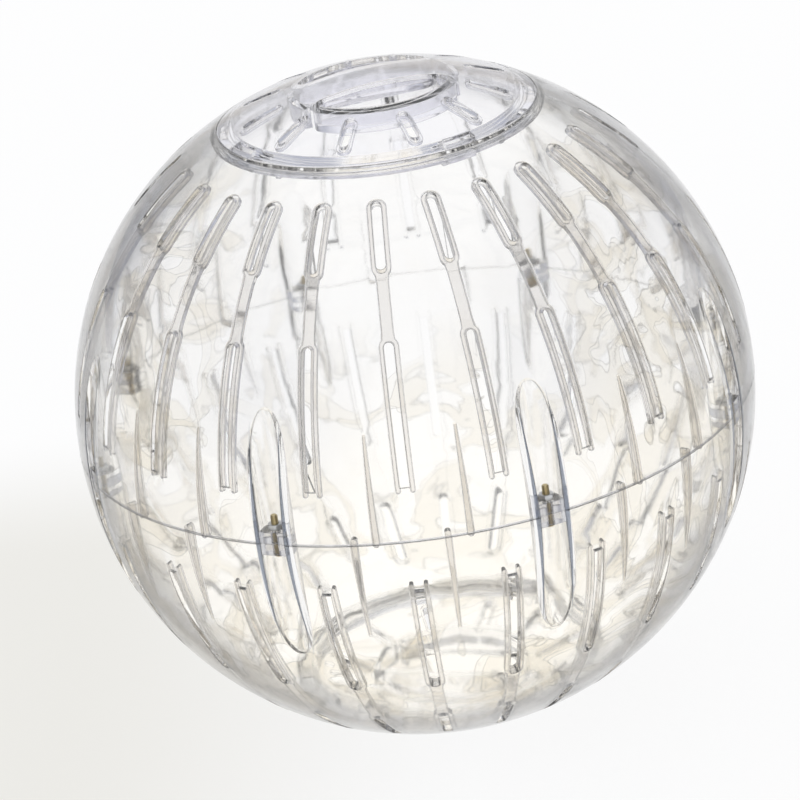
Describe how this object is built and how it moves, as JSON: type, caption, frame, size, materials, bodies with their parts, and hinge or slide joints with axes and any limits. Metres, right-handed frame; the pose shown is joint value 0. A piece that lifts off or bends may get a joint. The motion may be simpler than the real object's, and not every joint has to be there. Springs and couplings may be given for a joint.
{
  "type": "hamster ball",
  "caption": "Clear running ball for a small pet, split at its middle, with air slots, a twist-lock door at each end and screws round the seam.",
  "frame": {"origin": "centre of the ball, where the polar axis meets the plane of the seam", "axes": "+Z along the polar axis, out through the top door; -Y out through a slot column midway between two screws; +X to the right of that column"},
  "size_m": [0.29, 0.29, 0.29],
  "materials": {
    "clear_plastic": "polished, clear",
    "screw_steel": "yellow zinc plated",
    "nut_steel": "zinc plated"
  },
  "bodies": {
    "ball": {"upper_shell": "clear_plastic", "lower_shell": "clear_plastic", "screw_1": "screw_steel", "screw_2": "screw_steel", "screw_3": "screw_steel", "screw_4": "screw_steel", "screw_5": "screw_steel", "screw_6": "screw_steel", "screw_7": "screw_steel", "screw_8": "screw_steel", "nut_1": "nut_steel", "nut_2": "nut_steel", "nut_3": "nut_steel", "nut_4": "nut_steel", "nut_5": "nut_steel", "nut_6": "nut_steel", "nut_7": "nut_steel", "nut_8": "nut_steel"},
    "top_door": {"top_door": "clear_plastic"},
    "bottom_door": {"bottom_door": "clear_plastic"}
  },
  "joints": [
    {"name": "top_door_twist", "type": "hinge", "parent": "ball", "child": "top_door", "pos_m": [0, 0, 0], "axis": [0, 0, 1], "range_deg": [0, 12]},
    {"name": "bottom_door_twist", "type": "hinge", "parent": "ball", "child": "bottom_door", "pos_m": [0, 0, 0], "axis": [0, 0, -1], "range_deg": [0, 12]}
  ]
}
